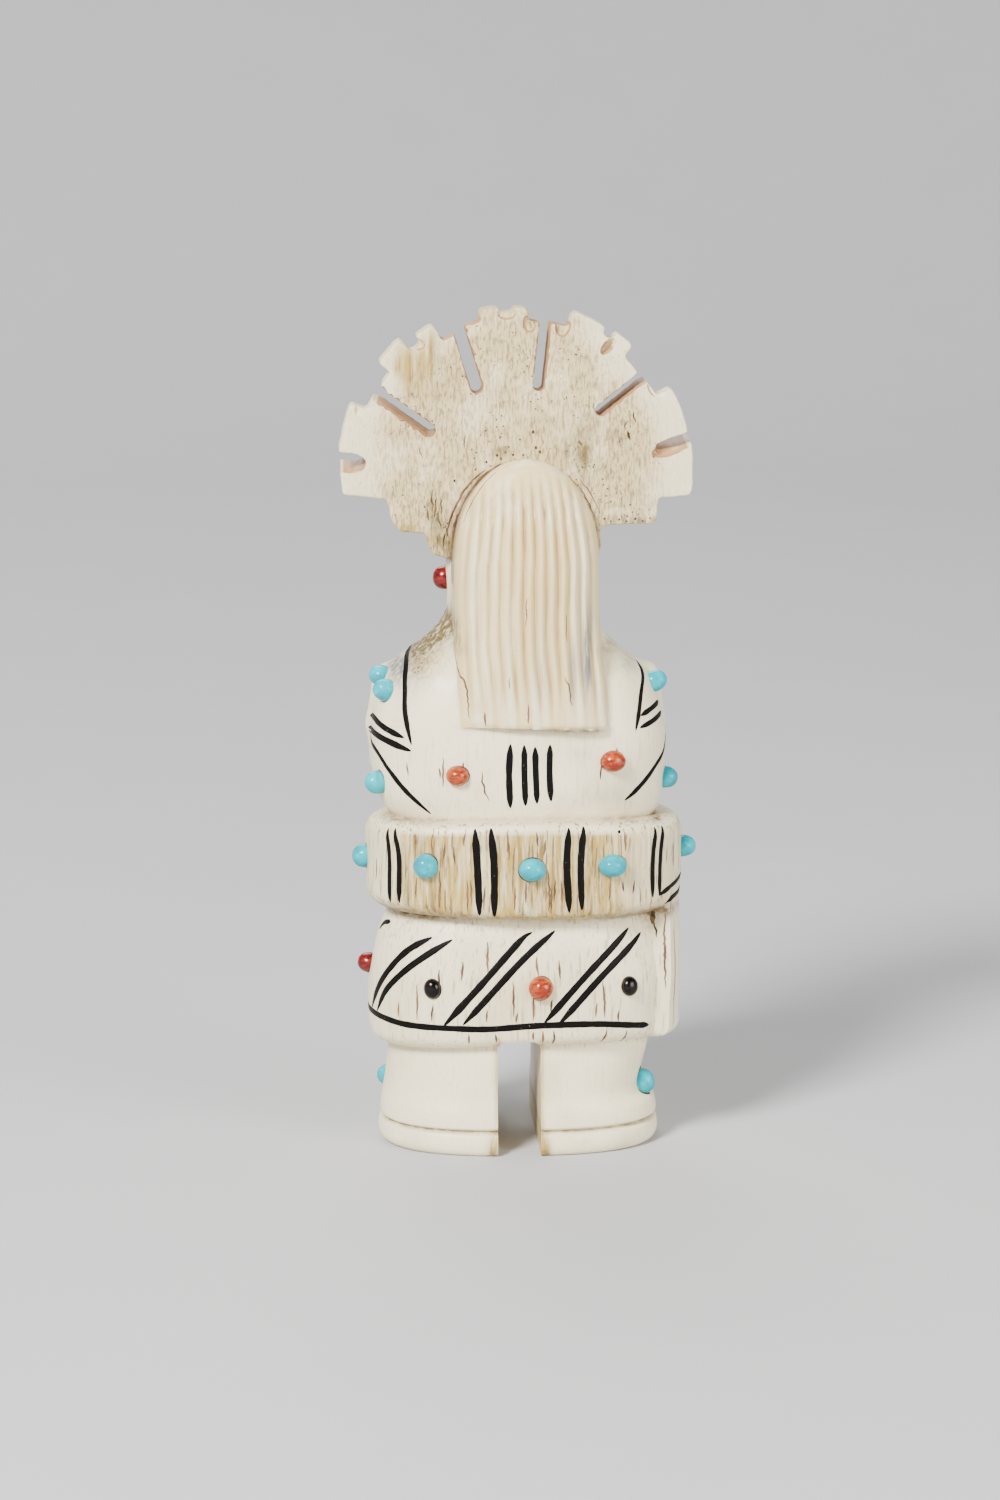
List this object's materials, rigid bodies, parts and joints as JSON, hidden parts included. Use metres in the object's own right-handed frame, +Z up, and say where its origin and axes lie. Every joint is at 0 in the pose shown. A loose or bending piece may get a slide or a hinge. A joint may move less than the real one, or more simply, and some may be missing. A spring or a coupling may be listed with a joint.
{
  "type": "carved maiden figure",
  "caption": "Small standing maiden carved from one piece of antler, with a stepped fan headdress, reeded hair, raised belt, and domed stones set in drilled pockets.",
  "frame": {"origin": "on the ground under the middle of the figure, at the bottom centre of its box", "axes": "+Z up, the figure faces -Y, and its left hand side is +X"},
  "size_m": [0.034, 0.024, 0.08],
  "materials": {
    "antler": "polished antler with black filled lines and tan stains",
    "turquoise": "polished turquoise",
    "coral": "polished coral",
    "jet": "polished jet"
  },
  "bodies": {
    "root": {"carving": "antler", "coral_back_left": "coral", "coral_back_right": "coral", "coral_earring_left": "coral", "coral_earring_right": "coral", "coral_skirt_back": "coral", "coral_skirt_front": "coral", "coral_skirt_left": "coral", "jet_skirt_back_left": "jet", "jet_skirt_back_right": "jet", "jet_skirt_front_left": "jet", "jet_skirt_front_right": "jet", "turquoise_belt_back": "turquoise", "turquoise_belt_back_left": "turquoise", "turquoise_belt_back_right": "turquoise", "turquoise_belt_front": "turquoise", "turquoise_belt_front_left": "turquoise", "turquoise_belt_front_right": "turquoise", "turquoise_belt_left": "turquoise", "turquoise_belt_right": "turquoise", "turquoise_elbow_left": "turquoise", "turquoise_elbow_right": "turquoise", "turquoise_leg_left": "turquoise", "turquoise_leg_right": "turquoise", "turquoise_shoulder_left_back": "turquoise", "turquoise_shoulder_left_front": "turquoise", "turquoise_shoulder_right": "turquoise"}
  },
  "joints": []
}
